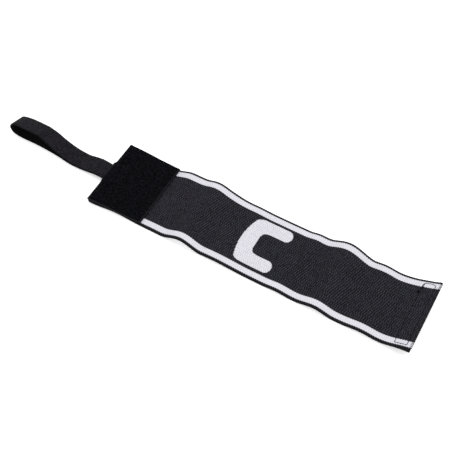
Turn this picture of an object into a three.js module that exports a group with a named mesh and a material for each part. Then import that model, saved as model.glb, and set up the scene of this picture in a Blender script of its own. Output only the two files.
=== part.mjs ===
// A captain's armband laid out on a flat surface: a wide elastic band with a soft patch for the
// hook strip at one end, the hook strip under the other end, and a narrow elastic strap that
// leaves the patch end as a folded loop.
//
// Millimetres, +Z up. X runs along the band towards the hook end and Y towards its back edge.
// The modelling origin is the middle of the band on the surface it lies on; the finished group
// is moved so that its own origin is the middle of the foot of the whole part.

import * as THREE from "three";

// The wide elastic band
const BAND_LENGTH = 290;
const BAND_WIDTH = 64;
const BAND_THICKNESS = 1.8;
const SEWN_END_FLARE = 1.4;
const SEWN_END_CORNER = 2.5;
const HOOK_END_CORNER = 1.5;

// The folds that the band keeps as it lies, and its raised ends
const FOLD_HEIGHT = 9;
const HOOK_END_SLOPE = 0.48;
const HOOK_END_BEND = 18;
const HOOK_END_TWIST = 1;
const HOOK_TIP_CURL = 2;
const HOOK_TIP_LENGTH = 8;
const SEWN_END_LIFT = 0.8;
const SEWN_END_LIFT_LENGTH = 17;
const SEWN_END_LIFT_FADE = 18;

// The soft patch sewn on top of the band's other end
const PATCH_LENGTH = 51.5;
const PATCH_THICKNESS = 2.1;
const PATCH_HEM_WIDTH = 3;
const PATCH_HEM_THICKNESS = 1.4;
const PATCH_SWELLING_SPREAD = 4.5;

// The hook strip sewn under the hook end
const HOOK_STRIP_LENGTH = 16;
const HOOK_STRIP_THICKNESS = 1.5;
const HOOK_STRIP_INSET = 0.3;

// The narrow strap, folded into a loop with both ends sewn in under the patch
const STRAP_WIDTH = 16.3;
const STRAP_THICKNESS = 0.9;
const STRAP_REACH = 101.5;
const STRAP_TAIL = 14;
const STRAP_OFFSET = -1.25;
const STRAP_VEER = 3.8;
const STRAP_VEER_FROM = 30;
const STRAP_VEER_LENGTH = 37;
const LOOP_HEIGHT = 16;

// Between layers that touch on the real thing
const GAP = 0.3;

// The share of a wall's thickness that is rounded away above and below at a woven edge
const EDGE_ROUNDING = 0.35;

// How finely the cloth is divided
const STATION_STEP = 4;
const PATCH_STEP = 2.8;
const BAND_LANES = 10;
const PATCH_LANES = 24;
const HOOK_LANES = 4;
const STRAP_STATIONS = 72;

const bandStart = -BAND_LENGTH / 2;
const bandEnd = BAND_LENGTH / 2;

// Folds across the band. For its back edge and its front edge: where the crest is and how far
// the fold reaches to each side of it, as shares of the band's length, and how high the crest
// stands, as a share of FOLD_HEIGHT.
const FOLDS = [
  { backAt: 0.228, frontAt: 0.228, backReach: 0.062, frontReach: 0.052, back: 0.62, front: 0.0 },
  { backAt: 0.315, frontAt: 0.312, backReach: 0.09, frontReach: 0.069, back: 0.99, front: 0.76 },
  { backAt: 0.386, frontAt: 0.386, backReach: 0.045, frontReach: 0.045, back: 0.19, front: 0.0 },
  { backAt: 0.441, frontAt: 0.424, backReach: 0.069, frontReach: 0.1, back: 0.12, front: 0.18 },
  { backAt: 0.648, frontAt: 0.614, backReach: 0.041, frontReach: 0.048, back: 0.24, front: 0.14 },
  { backAt: 0.734, frontAt: 0.728, backReach: 0.083, frontReach: 0.059, back: 0.98, front: 0.39 },
  { backAt: 0.845, frontAt: 0.866, backReach: 0.045, frontReach: 0.069, back: 0.17, front: 0.27 },
];

// The strap's two runs, from the band's end out to the fold: how far out, as a share of
// STRAP_REACH, and how high its near and far edges lie, as shares of the loop's own height.
const UPPER_RUN = [
  { out: 0.04, near: 0.32, far: 0.32 },
  { out: 0.098, near: 0.33, far: 0.365 },
  { out: 0.157, near: 0.275, far: 0.305 },
  { out: 0.245, near: 0.219, far: 0.165 },
  { out: 0.343, near: 0.245, far: 0.205 },
  { out: 0.42, near: 0.291, far: 0.238 },
  { out: 0.48, near: 0.344, far: 0.285 },
  { out: 0.54, near: 0.483, far: 0.377 },
  { out: 0.588, near: 0.603, far: 0.497 },
  { out: 0.637, near: 0.79, far: 0.59 },
  { out: 0.676, near: 0.965, far: 0.685 },
  { out: 0.735, near: 1.0, far: 0.71 },
  { out: 0.853, near: 1.0, far: 0.7 },
  { out: 0.925, near: 0.98, far: 0.62 },
  { out: 0.975, near: 0.87, far: 0.49 },
  { out: 1.0, near: 0.51, far: 0.29 },
];
const LOWER_RUN = [
  { out: 0.98, near: 0.17, far: 0.1 },
  { out: 0.93, near: 0.03, far: 0.02 },
  { out: 0.87, near: 0.0, far: 0.0 },
  { out: 0.7, near: 0.0, far: 0.0 },
  { out: 0.5, near: 0.03, far: 0.0 },
  { out: 0.36, near: 0.04, far: 0.0 },
  { out: 0.284, near: 0.06, far: 0.03 },
  { out: 0.225, near: 0.09, far: 0.06 },
  { out: 0.157, near: 0.155, far: 0.17 },
  { out: 0.098, near: 0.22, far: 0.24 },
  { out: 0.04, near: 0.22, far: 0.22 },
];

const share = (value, from, to) => THREE.MathUtils.clamp((value - from) / (to - from), 0, 1);
const smooth = (value, from, to) => THREE.MathUtils.smoothstep(value, from, to);
const mix = THREE.MathUtils.lerp;

// One raised-cosine fold: full height at its crest, nothing at its reach and beyond.
function foldProfile(distance, reach) {
  const part = Math.min(Math.abs(distance) / reach, 1);
  return (1 + Math.cos(Math.PI * part)) / 2;
}

function foldsAt(x, across) {
  let height = 0;
  for (const fold of FOLDS) {
    const crest = bandStart + BAND_LENGTH * mix(fold.frontAt, fold.backAt, across);
    const reach = BAND_LENGTH * mix(fold.frontReach, fold.backReach, across);
    height += FOLD_HEIGHT * mix(fold.front, fold.back, across) * foldProfile(x - crest, reach);
  }
  return height;
}

// The hook end bends up off the surface, then runs on straight over the hook strip. Its tip
// curls, up at the back corner and down at the front corner.
function hookEndLift(x, across) {
  const straightFrom = bandEnd - HOOK_STRIP_LENGTH;
  const bent = share(x, straightFrom - HOOK_END_BEND, straightFrom);
  const curved = HOOK_END_SLOPE * HOOK_END_BEND * bent * bent / 2;
  const straight = HOOK_END_SLOPE * Math.max(x - straightFrom, 0);
  const twist = HOOK_END_TWIST * (1 - across) * bent * bent;
  const curl = HOOK_TIP_CURL * (across - 0.5) * share(x, bandEnd - HOOK_TIP_LENGTH, bandEnd) ** 2;
  return curved + straight - twist + curl;
}

// The sewn end stands a little off the surface.
function sewnEndLift(x) {
  const level = bandStart + SEWN_END_LIFT_LENGTH;
  return SEWN_END_LIFT * (1 - smooth(x, level, level + SEWN_END_LIFT_FADE));
}

function bandUnderside(x, y) {
  const across = THREE.MathUtils.clamp(y / BAND_WIDTH + 0.5, 0, 1);
  return foldsAt(x, across) + hookEndLift(x, across) + sewnEndLift(x);
}

const bandTop = (x, y) => bandUnderside(x, y) + BAND_THICKNESS;

// Half the band's width: it flares where the patch is sewn on.
function bandHalfWidth(x) {
  const flare = SEWN_END_FLARE * (1 - smooth(x, bandStart, bandStart + PATCH_LENGTH));
  return BAND_WIDTH / 2 + flare;
}

// How far a rounded corner cuts in from the side, at a distance from the end.
function cornerCut(distance, radius) {
  const inside = radius - Math.min(distance, radius);
  return radius - Math.sqrt(radius * radius - inside * inside);
}

// Even steps from one value to another.
function spaced(from, to, step) {
  const count = Math.max(1, Math.round((to - from) / step));
  return Array.from({ length: count + 1 }, (_, i) => mix(from, to, i / count));
}

// A closed skin through rings of points, faces outwards. A ring runs along the underside and
// back along the top, so its two halves face each other and the end caps are ladders.
function skin(rings) {
  const size = rings[0].length;
  const faces = [];
  const quad = (a, b, c, d) => faces.push(a, b, c, a, c, d);
  for (let r = 0; r + 1 < rings.length; r += 1) {
    for (let i = 0; i < size; i += 1) {
      const next = (i + 1) % size;
      const here = r * size;
      const there = here + size;
      quad(here + i, here + next, there + next, there + i);
    }
  }
  const last = (rings.length - 1) * size;
  for (let i = 0; i + 1 < size / 2; i += 1) {
    const facing = size - 1 - i;
    quad(i, facing, facing - 1, i + 1);
    quad(last + i, last + i + 1, last + facing - 1, last + facing);
  }
  const geometry = new THREE.BufferGeometry().setFromPoints(rings.flat());
  geometry.setIndex(faces);
  geometry.computeVertexNormals();
  return geometry;
}

// Places across a strip, from -half to half, with one more just inside each rounded edge.
function lanesAcross(half, count, edge) {
  return [-half, ...spaced(edge - half, half - edge, (2 * half - 2 * edge) / count), half];
}

// A sheet of cloth over a range of X: an underside, a wall that may vary, and rounded long edges.
function sheet({ stations, lanes, halfWidth, underside, wall }) {
  const rings = stations.map((x) => {
    const half = halfWidth(x);
    const below = [];
    const above = [];
    const across = lanesAcross(half, lanes, wall(x, half) / 2);
    across.forEach((y, lane) => {
      const atEdge = lane === 0 || lane === across.length - 1;
      const full = wall(x, y);
      const rounding = atEdge ? EDGE_ROUNDING * full : 0;
      const low = underside(x, y);
      below.push(new THREE.Vector3(x, y, low + rounding));
      above.push(new THREE.Vector3(x, y, low + full - rounding));
    });
    return [...below, ...above.reverse()];
  });
  return skin(rings);
}

function bandGeometry() {
  const roundFrom = [0, 0.12, 0.35, 0.65];
  const roundTo = [0.55, 0.82, 1];
  const hookCorner = bandEnd - HOOK_END_CORNER;
  return sheet({
    stations: [
      ...roundFrom.map((part) => bandStart + part * SEWN_END_CORNER),
      ...spaced(bandStart + SEWN_END_CORNER, hookCorner, STATION_STEP),
      ...roundTo.map((part) => hookCorner + part * HOOK_END_CORNER),
    ],
    lanes: BAND_LANES,
    halfWidth: (x) => bandHalfWidth(x)
      - cornerCut(x - bandStart, SEWN_END_CORNER)
      - cornerCut(bandEnd - x, HOOK_END_CORNER),
    underside: bandUnderside,
    wall: () => BAND_THICKNESS,
  });
}

// The strap's ends make the patch swell over them. The swelling is level over the strap and
// dies away close beside it.
function strapSwelling(x, y) {
  const tailEnd = bandStart + STRAP_TAIL + GAP;
  const side = STRAP_WIDTH / 2 + GAP;
  const along = 1 - smooth(x, tailEnd, tailEnd + PATCH_SWELLING_SPREAD);
  const across = 1 - smooth(Math.abs(y - STRAP_OFFSET), side, side + PATCH_SWELLING_SPREAD);
  return 2 * (STRAP_THICKNESS + GAP) * along * across;
}

// The patch is thinner along its sewn-down edges.
function patchWall(x, y) {
  const fromEnds = Math.min(x - bandStart, bandStart + PATCH_LENGTH - x);
  const fromSides = bandHalfWidth(x) - Math.abs(y);
  const full = smooth(Math.min(fromEnds, fromSides), 0, PATCH_HEM_WIDTH);
  return mix(PATCH_HEM_THICKNESS, PATCH_THICKNESS, full);
}

function patchGeometry() {
  const end = bandStart + PATCH_LENGTH;
  const hem = PATCH_HEM_WIDTH;
  return sheet({
    stations: [
      bandStart,
      bandStart + hem / 2,
      ...spaced(bandStart + hem, end - hem, PATCH_STEP),
      end - hem / 2,
      end,
    ],
    lanes: PATCH_LANES,
    halfWidth: bandHalfWidth,
    underside: (x, y) => bandTop(x, y) + GAP + strapSwelling(x, y),
    wall: patchWall,
  });
}

function hookStripGeometry() {
  return sheet({
    stations: spaced(bandEnd - HOOK_STRIP_LENGTH, bandEnd, STATION_STEP),
    lanes: HOOK_LANES,
    halfWidth: () => BAND_WIDTH / 2 - HOOK_STRIP_INSET,
    underside: (x, y) => bandUnderside(x, y) - GAP - HOOK_STRIP_THICKNESS,
    wall: () => HOOK_STRIP_THICKNESS,
  });
}

// One edge of the strap's middle layer, from the sewn-in end of the upper run, out round the
// fold and back to the sewn-in end of the lower run. The sewn-in runs lie on the band.
function strapEdge(side) {
  const layer = STRAP_THICKNESS + GAP;
  const lowest = STRAP_THICKNESS / 2;
  const highest = LOOP_HEIGHT - STRAP_THICKNESS / 2;
  const edgeY = (x) => {
    const out = bandStart - x;
    const veer = STRAP_VEER * smooth(out, STRAP_VEER_FROM, STRAP_VEER_FROM + STRAP_VEER_LENGTH);
    return STRAP_OFFSET + veer + (side === "far" ? STRAP_WIDTH : -STRAP_WIDTH) / 2;
  };
  const sewnIn = (inset, layers) => {
    const x = bandStart + inset;
    const z = bandTop(x, STRAP_OFFSET) + GAP + STRAP_THICKNESS / 2 + layers * layer;
    return new THREE.Vector3(x, edgeY(x), z);
  };
  const onRun = (row) => {
    const x = bandStart - row.out * STRAP_REACH;
    return new THREE.Vector3(x, edgeY(x), mix(lowest, highest, row[side]));
  };
  const insets = [STRAP_TAIL, STRAP_TAIL / 2, 0];
  return new THREE.CatmullRomCurve3([
    ...insets.map((inset) => sewnIn(inset, 1)),
    ...UPPER_RUN.map(onRun),
    ...LOWER_RUN.map(onRun),
    ...insets.reverse().map((inset) => sewnIn(inset, 0)),
  ]);
}

// A flat ribbon with rounded edges, carried along the strap's two edges. Nothing of it goes
// below the surface that it lies on.
function strapGeometry() {
  const onSurface = (point) => point.setZ(Math.max(point.z, STRAP_THICKNESS / 2));
  const near = strapEdge("near");
  const far = strapEdge("far");
  const half = STRAP_WIDTH / 2;
  const thin = STRAP_THICKNESS / 2;
  const blunt = thin - EDGE_ROUNDING * STRAP_THICKNESS;
  const outerSide = [[-half, blunt], [thin - half, thin], [half - thin, thin], [half, blunt]];
  const innerSide = outerSide.map(([across, out]) => [across, -out]).reverse();
  const outline = [...outerSide, ...innerSide];
  const rings = [];
  for (let i = 0; i <= STRAP_STATIONS; i += 1) {
    const part = i / STRAP_STATIONS;
    const nearPoint = onSurface(near.getPoint(part));
    const farPoint = onSurface(far.getPoint(part));
    const middle = nearPoint.clone().lerp(farPoint, 0.5);
    const forward = near.getTangent(part).add(far.getTangent(part)).normalize();
    const sideways = farPoint.clone().sub(nearPoint).normalize();
    const outward = sideways.clone().cross(forward).normalize();
    rings.push(outline.map(([across, out]) => middle.clone()
      .addScaledVector(sideways, across)
      .addScaledVector(outward, out)));
  }
  return skin(rings);
}

function cloth(name, geometry, color, roughness) {
  const material = new THREE.MeshStandardMaterial({ color, roughness, metalness: 0 });
  const mesh = new THREE.Mesh(geometry, material);
  mesh.name = name;
  return mesh;
}

function buildArmband() {
  const armband = new THREE.Group();
  armband.add(
    cloth("band", bandGeometry(), 0x2b2a2f, 0.8),
    cloth("loop_patch", patchGeometry(), 0x0f0f13, 0.95),
    cloth("hook_strip", hookStripGeometry(), 0x17171a, 0.7),
    cloth("strap_loop", strapGeometry(), 0x262529, 0.75),
  );
  const box = new THREE.Box3().setFromObject(armband);
  const middle = box.getCenter(new THREE.Vector3());
  armband.position.set(-middle.x, -middle.y, -box.min.z);
  return armband;
}

export default buildArmband();
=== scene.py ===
"""A captain's armband as it lies on a pale floor, with its lights and camera.

Metres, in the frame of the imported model: x runs along the band towards its hook end, y towards its
back edge, and z up off the floor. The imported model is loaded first, and each cloth node of it is
replaced by a piece with its weave, pile, hooks or stitches.
"""

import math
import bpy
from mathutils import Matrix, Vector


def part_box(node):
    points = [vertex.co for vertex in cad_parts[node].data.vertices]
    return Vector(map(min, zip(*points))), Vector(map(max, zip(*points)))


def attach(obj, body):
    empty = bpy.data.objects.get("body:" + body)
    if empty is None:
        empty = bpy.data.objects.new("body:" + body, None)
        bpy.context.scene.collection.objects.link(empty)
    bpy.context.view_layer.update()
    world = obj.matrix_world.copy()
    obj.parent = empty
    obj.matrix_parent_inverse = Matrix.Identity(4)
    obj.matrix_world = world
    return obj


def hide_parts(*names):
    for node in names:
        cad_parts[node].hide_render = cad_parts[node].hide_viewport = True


bl_info = {
    "name": "Captain Armband",
    "version": (1, 0, 0),
    "blender": (4, 5, 0),
    "location": "View3D > Sidebar > Armband",
    "description": "Builds a woven elastic armband with its loop patch, hook strip and strap loop",
    "category": "Object",
}

import bpy
import numpy as np
from bpy.props import FloatProperty, FloatVectorProperty, IntProperty, PointerProperty
from mathutils import Vector

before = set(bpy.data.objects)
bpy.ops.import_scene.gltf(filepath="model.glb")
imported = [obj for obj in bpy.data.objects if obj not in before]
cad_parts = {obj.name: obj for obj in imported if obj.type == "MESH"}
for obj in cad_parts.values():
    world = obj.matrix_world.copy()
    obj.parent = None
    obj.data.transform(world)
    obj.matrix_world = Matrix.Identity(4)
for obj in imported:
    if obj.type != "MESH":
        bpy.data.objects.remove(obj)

UV_NAME = "cloth"

# Between two layers that lie on each other
GAP = 0.0003
# How far white runs into dark along a woven edge, how deep the ribs cut into a stripe's sides, and
# the share of that cut that lies on each side of the stripe's drawn line
DYE_BLEED = 0.00012
TOOTH = 0.0004
MEAN_TOOTH = 0.6
# Length of the band's dark cut end
CUT_END = 0.0020
# One turn of a thread's plies
PLY_PITCH = 0.0009
# Scale of the finest noise in cloth
FINE_WEAR = 2600.0
# How soon the C's bar runs into its upper and lower arm
UPPER_JOINT = 0.0100
LOWER_JOINT = 0.0085

# The rounded boxes of the C, from its own middle: middle, half size and corner of each
LETTER_BOXES = {
    "upper arm": ((0.0001, 0.0166), (0.0188, 0.0056), 0.0050),
    "lower arm": ((-0.0009, -0.0172), (0.0178, 0.0059), 0.0050),
    "bar": ((-0.0122, -0.0004), (0.0072, 0.0226), 0.0050),
    "far corner": ((0.0812, -0.0777), (0.1, 0.1), 0.0130),
    "near corner": ((0.0810, 0.0769), (0.1, 0.1), 0.0100),
    "back": ((0.0397, -0.0021), (0.058, 0.058), 0.058),
}

# Folds across the band. For its back edge and its front edge: where the crest is and how far the
# fold reaches to each side, as shares of the band's length, and the crest's share of fold_height.
FOLD_COLUMNS = ("back_at", "front_at", "back_reach", "front_reach", "back", "front")
FOLDS = (
    (0.228, 0.228, 0.062, 0.052, 0.62, 0.0),
    (0.315, 0.312, 0.09, 0.069, 0.99, 0.76),
    (0.386, 0.386, 0.045, 0.045, 0.19, 0.0),
    (0.441, 0.424, 0.069, 0.1, 0.12, 0.18),
    (0.648, 0.614, 0.041, 0.048, 0.24, 0.14),
    (0.734, 0.728, 0.083, 0.059, 0.98, 0.39),
    (0.845, 0.866, 0.045, 0.069, 0.17, 0.27),
)

# The strap's two runs, from the band's end out to the fold: how far out, as a share of its reach,
# and how high its near and far edges lie, as shares of the loop's own height.
RUN_COLUMNS = ("out", "near", "far")
UPPER_RUN = (
    (0.04, 0.32, 0.32),
    (0.098, 0.33, 0.365),
    (0.157, 0.275, 0.305),
    (0.245, 0.219, 0.165),
    (0.343, 0.245, 0.205),
    (0.42, 0.291, 0.238),
    (0.48, 0.344, 0.285),
    (0.54, 0.483, 0.377),
    (0.588, 0.603, 0.497),
    (0.637, 0.79, 0.59),
    (0.676, 0.965, 0.685),
    (0.735, 1.0, 0.71),
    (0.853, 1.0, 0.7),
    (0.925, 0.98, 0.62),
    (0.975, 0.87, 0.49),
    (1.0, 0.51, 0.29),
)
LOWER_RUN = (
    (0.98, 0.17, 0.1),
    (0.93, 0.03, 0.02),
    (0.87, 0.0, 0.0),
    (0.7, 0.0, 0.0),
    (0.5, 0.03, 0.0),
    (0.36, 0.04, 0.0),
    (0.284, 0.06, 0.03),
    (0.225, 0.09, 0.06),
    (0.157, 0.155, 0.17),
    (0.098, 0.22, 0.24),
    (0.04, 0.22, 0.22),
)


def length_property(name, description, default):
    """One size in metres, as the sidebar shows it."""
    return FloatProperty(name=name, description=description, default=default, min=0.0, precision=5,
                         unit="LENGTH", subtype="DISTANCE")


def colour_property(name, description, default):
    """One linear colour."""
    return FloatVectorProperty(name=name, description=description, default=default, min=0.0, max=1.0,
                               size=3, subtype="COLOR")


class ArmbandBand(bpy.types.PropertyGroup):
    """Sizes and colours of the wide elastic band."""

    length: length_property("Length", "The band's length as it lies", 0.290)
    width: length_property("Width", "The band's width between its folds", 0.064)
    thickness: length_property("Thickness", "The elastic's thickness", 0.0018)
    flare: length_property("Sewn End Flare", "Added to each side under the patch", 0.0014)
    sewn_corner: length_property("Sewn End Corner", "Corner radius under the patch", 0.0025)
    hook_corner: length_property("Hook End Corner", "Corner radius at the hook end", 0.0015)
    fold_height: length_property("Fold Height", "Height of a full fold's crest", 0.009)
    bend: length_property("Hook End Bend", "Length over which the hook end bends up", 0.018)
    slope: FloatProperty(name="Hook End Slope", description="Rise of the straight hook end", default=0.48)
    twist: length_property("Hook End Twist", "How much lower the end's front corner is", 0.001)
    curl: length_property("Hook Tip Curl", "How much higher the tip's back corner is", 0.002)
    tip: length_property("Hook Tip Length", "Length over which the tip curls", 0.008)
    lift: length_property("Sewn End Lift", "How far the sewn end is off the floor", 0.0008)
    lift_length: length_property("Lift Length", "Length of the lifted sewn end", 0.017)
    lift_fade: length_property("Lift Fade", "Length over which the lift dies away", 0.018)
    rib_pitch: length_property("Rib Pitch", "From one cross rib to the next", 0.0020)
    lane: length_property("Lane", "Width of one lane of yarn", 0.0016)
    slant: FloatProperty(name="Slant", description="Step along the band per width across it",
                         default=0.35)
    selvedge: length_property("Selvedge", "How far the woven edge stands out at each side", 0.00025)
    front_roll: length_property("Front Roll", "How much further the front edge stands out", 0.0006)
    stripe_width: length_property("Stripe Width", "Width of a white stripe", 0.0049)
    stripe_inset: length_property("Stripe Inset", "From the band's side to the stripe", 0.001775)
    stripe_shift: length_property("Stripe Shift", "How far the stripes sit towards the front", 0.000175)
    letter_at: length_property("Letter Place", "From the sewn end to the C's middle", 0.1486)
    letter_shift: length_property("Letter Shift", "From the band's middle to the C's middle", 0.0006)
    field: colour_property("Field", "Yarn of the dark field", (0.0150, 0.0145, 0.0190))
    white: colour_property("White", "Yarn of the stripes and the C", (0.70, 0.69, 0.745))


class ArmbandPatch(bpy.types.PropertyGroup):
    """Sizes and colours of the soft loop patch."""

    length: length_property("Length", "The patch's length along the band", 0.0515)
    thickness: length_property("Thickness", "The patch's thickness with its pile", 0.0021)
    hem: length_property("Hem Width", "Width over which the edges are thinner", 0.003)
    hem_thickness: length_property("Hem Thickness", "Thickness of the sewn edges", 0.0014)
    spread: length_property("Swelling Spread", "How soon the swelling over the strap ends", 0.0045)
    rim: length_property("Rim", "Width of the plain woven edge", 0.0003)
    end_rim: length_property("End Rim", "Width of the plain hem at each end", 0.0009)
    loops: IntProperty(name="Loops", description="Number of pile loops", default=7200, min=100)
    loop_height: length_property("Loop Height", "Height of a pile loop", 0.00075)
    yarn: length_property("Loop Yarn", "Thickness of a pile loop's yarn", 0.00013)
    pile: colour_property("Pile", "The brushed pile", (0.0038, 0.0039, 0.0056))
    # The edge's grey is partly the plain weave's own colour and partly a painted highlight where the
    # tape's edge catches the light.
    edge: colour_property("Edge", "The woven edge", (0.0080, 0.0076, 0.0092))


class ArmbandHooks(bpy.types.PropertyGroup):
    """Sizes and colour of the hook strip."""

    length: length_property("Length", "The strip's length along the band", 0.016)
    thickness: length_property("Thickness", "Tape and hooks together", 0.0015)
    inset: length_property("Inset", "How far the strip's start stays inside the band's sides", 0.0003)
    askew: length_property("Askew", "How far the strip's end is shifted to the front", 0.0016)
    tape: length_property("Tape", "Thickness of the tape alone", 0.0009)
    pitch: length_property("Hook Pitch", "From one hook to the next", 0.0012)
    wire: length_property("Hook Wire", "Thickness of one hook", 0.0003)
    colour: colour_property("Colour", "The moulded hooks and tape", (0.006, 0.006, 0.0075))


class ArmbandStrap(bpy.types.PropertyGroup):
    """Sizes and colour of the narrow strap."""

    width: length_property("Width", "The strap's width", 0.0163)
    thickness: length_property("Thickness", "The strap's thickness", 0.0009)
    reach: length_property("Reach", "How far the folded strap reaches past the band", 0.1015)
    tail: length_property("Tail", "Length of each end that is sewn in", 0.014)
    offset: FloatProperty(name="Offset", description="The strap's middle from the band's middle",
                          default=-0.00125, unit="LENGTH", subtype="DISTANCE", precision=5)
    veer: length_property("Veer", "Sideways step towards the fold", 0.0038)
    veer_from: length_property("Veer From", "Where the sideways step starts", 0.030)
    veer_length: length_property("Veer Length", "Length of the sideways step", 0.037)
    loop_height: length_property("Loop Height", "Height of the open loop", 0.016)
    cord_pitch: length_property("Cord Pitch", "From one lengthwise cord to the next", 0.0019)
    pick_pitch: length_property("Pick Pitch", "From one cross yarn to the next", 0.0010)
    colour: colour_property("Colour", "The strap's yarn", (0.0098, 0.0089, 0.0117))


class ArmbandThread(bpy.types.PropertyGroup):
    """Sizes and colours of the sewing."""

    diameter: length_property("Diameter", "Thickness of the sewing thread", 0.00055)
    stitch: length_property("Stitch", "Length of one stitch with its gap", 0.0020)
    box_length: length_property("Box Length", "Length of the box seam along the band", 0.0093)
    box_inset: length_property("Box Inset", "From the hook end to the box seam", 0.004)
    box_side: length_property("Box Side", "From the band's side to the box seam", 0.003)
    dark: colour_property("Dark", "Black thread", (0.004, 0.004, 0.005))
    light: colour_property("Light", "Grey thread of the edges", (0.020, 0.019, 0.023))


class ArmbandStage(bpy.types.PropertyGroup):
    """The floor, the lights and the camera."""

    camera_place: FloatVectorProperty(name="Camera Place", description="Where the camera stands",
                                      default=(0.2109, -0.3328, 0.5759), size=3, unit="LENGTH",
                                      subtype="XYZ")
    camera_aim: FloatVectorProperty(name="Camera Aim", description="The point in the picture's middle",
                                    default=(0.0183, 0.0032, 0.0), size=3, unit="LENGTH", subtype="XYZ")
    focal_length: FloatProperty(name="Focal Length", description="For a sensor 36 mm wide",
                                default=67.136, unit="CAMERA")
    floor_size: length_property("Floor Size", "Side of the square floor", 6.0)
    floor: colour_property("Floor", "The pale floor", (0.93, 0.93, 0.935))
    glow: FloatProperty(name="Glow", description="Light that the floor itself gives", default=0.4)
    dome: FloatProperty(name="Dome", description="Strength of the even light from all round",
                        default=0.92)
    key: FloatProperty(name="Key Light", description="Power of the large soft light", default=9.0,
                       unit="POWER")


# Shapes of the cloth


def smoothstep(value, low, high):
    """Nothing up to low, one from high on, and 3t^2 - 2t^3 between them."""
    part = np.clip((value - low) / (high - low), 0.0, 1.0)
    return part * part * (3.0 - 2.0 * part)


def mix(low, high, part):
    """The value that lies the given part of the way from low to high."""
    return low + (high - low) * part


def band_ends():
    """The band's two ends along x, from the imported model."""
    low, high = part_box("band")
    return low.x, high.x


def band_underside(band, x, y):
    """Height of the band's underside.

    Each fold is a raised cosine along x whose crest, reach and height change evenly from the front
    edge to the back edge. The hook end follows a parabola and then a straight slope, and its
    tip curls with the square of the way along it. The sewn end is lifted, and comes down by a
    smooth step.
    """
    start, end = band_ends()
    across = np.clip(y / band.width + 0.5, 0.0, 1.0)
    height = np.zeros_like(x + y)
    for row in FOLDS:
        fold = dict(zip(FOLD_COLUMNS, row))
        crest = start + band.length * mix(fold["front_at"], fold["back_at"], across)
        reach = band.length * mix(fold["front_reach"], fold["back_reach"], across)
        part = np.minimum(np.abs(x - crest) / reach, 1.0)
        rise = band.fold_height * mix(fold["front"], fold["back"], across)
        height = height + rise * (1.0 + np.cos(np.pi * part)) / 2.0
    straight_from = end - bpy.context.scene.armband_hooks.length
    bent = np.clip((x - straight_from + band.bend) / band.bend, 0.0, 1.0)
    height = height + band.slope * band.bend * bent ** 2 / 2.0
    height = height + band.slope * np.maximum(x - straight_from, 0.0)
    height = height - band.twist * (1.0 - across) * bent ** 2
    tip = np.clip((x - end + band.tip) / band.tip, 0.0, 1.0)
    height = height + band.curl * (across - 0.5) * tip ** 2
    level = start + band.lift_length
    return height + band.lift * (1.0 - smoothstep(x, level, level + band.lift_fade))


def band_top(band, x, y):
    """Height of the band's upper face."""
    return band_underside(band, x, y) + band.thickness


def band_half_width(band, x):
    """Half the band's width, which flares by a smooth step under the patch."""
    start, _ = band_ends()
    patch_length = bpy.context.scene.armband_patch.length
    return band.width / 2.0 + band.flare * (1.0 - smoothstep(x, start, start + patch_length))


def rolled(band, x, y):
    """Places across the band after its front edge is pushed outwards by a smooth step.

    Under the patch the push is a cosine, which turns inwards towards the patch's middle.
    """
    start, _ = band_ends()
    patch_length = bpy.context.scene.armband_patch.length
    part = np.clip((x - start - 0.55 * patch_length) / (0.45 * patch_length), -1.0, 1.0)
    push = -band.front_roll * np.cos(np.pi * part)
    return y - push * smoothstep(-y, 0.4 * band.width, 0.5 * band.width)


def corner_cut(distance, radius):
    """How far a round corner cuts in from the side, at a distance from the end."""
    inside = radius - np.minimum(distance, radius)
    return radius - np.sqrt(radius ** 2 - inside ** 2)


def strap_swelling(x, y):
    """How far the two strap ends push the patch up: level over them, gone a spread beside them."""
    strap = bpy.context.scene.armband_strap
    spread = bpy.context.scene.armband_patch.spread
    start, _ = band_ends()
    tail_end = start + strap.tail + GAP
    side = strap.width / 2.0 + GAP
    along = 1.0 - smoothstep(x, tail_end, tail_end + spread)
    across = 1.0 - smoothstep(np.abs(y - strap.offset), side, side + spread)
    return 2.0 * (strap.thickness + GAP) * along * across


def patch_underside(band, x, y):
    """Height of the patch's underside, which follows the band and the strap's ends."""
    return band_top(band, x, y) + GAP + strap_swelling(x, y)


def inside_patch(band, patch, x, y):
    """Distances from the patch's sides, sewn end and end towards the C, each positive inside."""
    start, _ = band_ends()
    return band_half_width(band, x) - np.abs(y), x - start, start + patch.length - x


def patch_wall(band, patch, x, y):
    """The patch with its pile: thin at its edges, and full from a hem's width inwards."""
    nearest = np.minimum.reduce(np.broadcast_arrays(*inside_patch(band, patch, x, y)))
    return mix(patch.hem_thickness, patch.thickness, smoothstep(nearest, 0.0, patch.hem))


def pile_bed(band, patch, x, y):
    """How much of the pile stands at a place: none on the woven rims, all a millimetre inside."""
    sides, sewn, end = inside_patch(band, patch, x, y)
    fade = patch.hem / 3.0
    grown = smoothstep(sides, patch.rim, patch.rim + fade)
    return grown * smoothstep(np.minimum(sewn, end), patch.end_rim, patch.end_rim + fade)


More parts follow.
